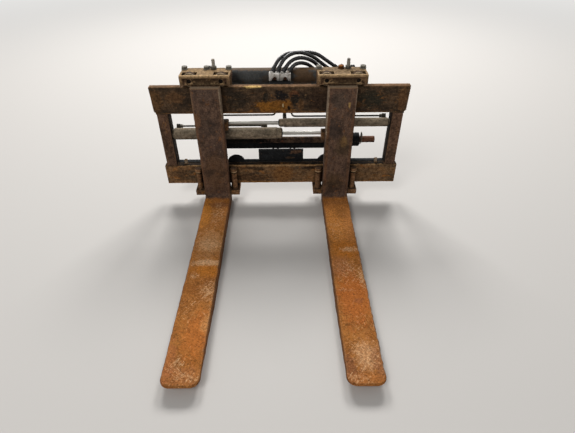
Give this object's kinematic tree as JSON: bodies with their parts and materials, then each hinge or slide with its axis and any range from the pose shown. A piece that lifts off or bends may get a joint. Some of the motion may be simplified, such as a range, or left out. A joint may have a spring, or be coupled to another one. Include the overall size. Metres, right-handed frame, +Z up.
{
  "type": "hydraulic fork positioner carriage",
  "caption": "Telehandler fork carriage with sliding pallet forks on roller hangers, opposed positioning cylinders, a hook tube above and a lock pin below.",
  "frame": {"origin": "on the floor under the middle of the bounding box of the object without its hoses", "axes": "+X to the right seen from the blades' tips, +Y from the blades' tips back towards the machine, +Z up"},
  "size_m": [1.18, 1.331, 0.7155],
  "materials": {
    "worn_fork_steel": "orange rust, bare and scuffed on the blades, brown on the shanks",
    "rusty_bar_steel": "old dark paint worn through to rust",
    "tan_cast_steel": "tan surface rust on a cast face",
    "black_paint": "satin black paint with rubbed edges",
    "dark_tube_steel": "dark grey paint, rusty on the right half",
    "rusty_pin_steel": "red-brown rust",
    "zinc_steel": "dull zinc plate",
    "zinc_block": "pale zinc plate",
    "barrel_steel": "dusty grey-brown",
    "chrome_rod": "bright chrome",
    "roller_steel": "rolled bright on the tread, brown at the sides",
    "hose_rubber": "smooth black cover"
  },
  "bodies": {
    "frame": {"upper_bar": "rusty_bar_steel", "lower_bar": "rusty_bar_steel", "left_post": "rusty_bar_steel", "right_post": "rusty_bar_steel", "rear_rail": "black_paint", "centre_plate": "black_paint", "left_ear": "black_paint", "right_ear": "black_paint", "cross_tube": "black_paint", "block_bracket": "black_paint", "coupler_plate": "black_paint", "top_tube": "dark_tube_steel", "lock_pin": "rusty_pin_steel", "lock_clip": "zinc_steel", "couplers": "zinc_steel", "lower_pipes": "zinc_steel", "upper_pipes": "zinc_steel", "left_port_block": "zinc_block", "right_port_block": "zinc_block", "upper_barrel": "barrel_steel", "lower_barrel": "barrel_steel", "hose_1": "hose_rubber", "hose_2": "hose_rubber", "hose_3": "hose_rubber", "hose_4": "hose_rubber"},
    "fork_left": {"left_fork": "worn_fork_steel", "left_hanger": "tan_cast_steel", "left_jaw": "tan_cast_steel", "left_hanger_bolts": "zinc_steel", "left_axles": "zinc_steel", "left_guides": "rusty_bar_steel", "left_rod": "chrome_rod", "left_rod_bracket": "barrel_steel"},
    "fork_right": {"right_fork": "worn_fork_steel", "right_hanger": "tan_cast_steel", "right_jaw": "tan_cast_steel", "right_hanger_bolts": "zinc_steel", "right_axles": "zinc_steel", "right_guides": "rusty_bar_steel", "right_rod": "chrome_rod", "right_rod_bracket": "barrel_steel"},
    "left_roller_1": {"left_roller_1": "roller_steel"},
    "left_roller_2": {"left_roller_2": "roller_steel"},
    "right_roller_1": {"right_roller_1": "roller_steel"},
    "right_roller_2": {"right_roller_2": "roller_steel"}
  },
  "joints": [
    {"name": "left_fork_slide", "type": "slide", "parent": "frame", "child": "fork_left", "axis": [1, 0, 0], "range_m": [-0.125, 0.158]},
    {"name": "right_fork_slide", "type": "slide", "parent": "frame", "child": "fork_right", "axis": [1, 0, 0], "range_m": [-0.106, 0.177]},
    {"name": "left_roller_1_spin", "type": "hinge", "parent": "fork_left", "child": "left_roller_1", "pos_m": [-0.4, 0.4545, 0.6383], "axis": [0, 1, 0], "continuous": true},
    {"name": "left_roller_2_spin", "type": "hinge", "parent": "fork_left", "child": "left_roller_2", "pos_m": [-0.26, 0.4545, 0.6383], "axis": [0, 1, 0], "continuous": true},
    {"name": "right_roller_1_spin", "type": "hinge", "parent": "fork_right", "child": "right_roller_1", "pos_m": [0.208, 0.4545, 0.6383], "axis": [0, 1, 0], "continuous": true},
    {"name": "right_roller_2_spin", "type": "hinge", "parent": "fork_right", "child": "right_roller_2", "pos_m": [0.348, 0.4545, 0.6383], "axis": [0, 1, 0], "continuous": true}
  ]
}
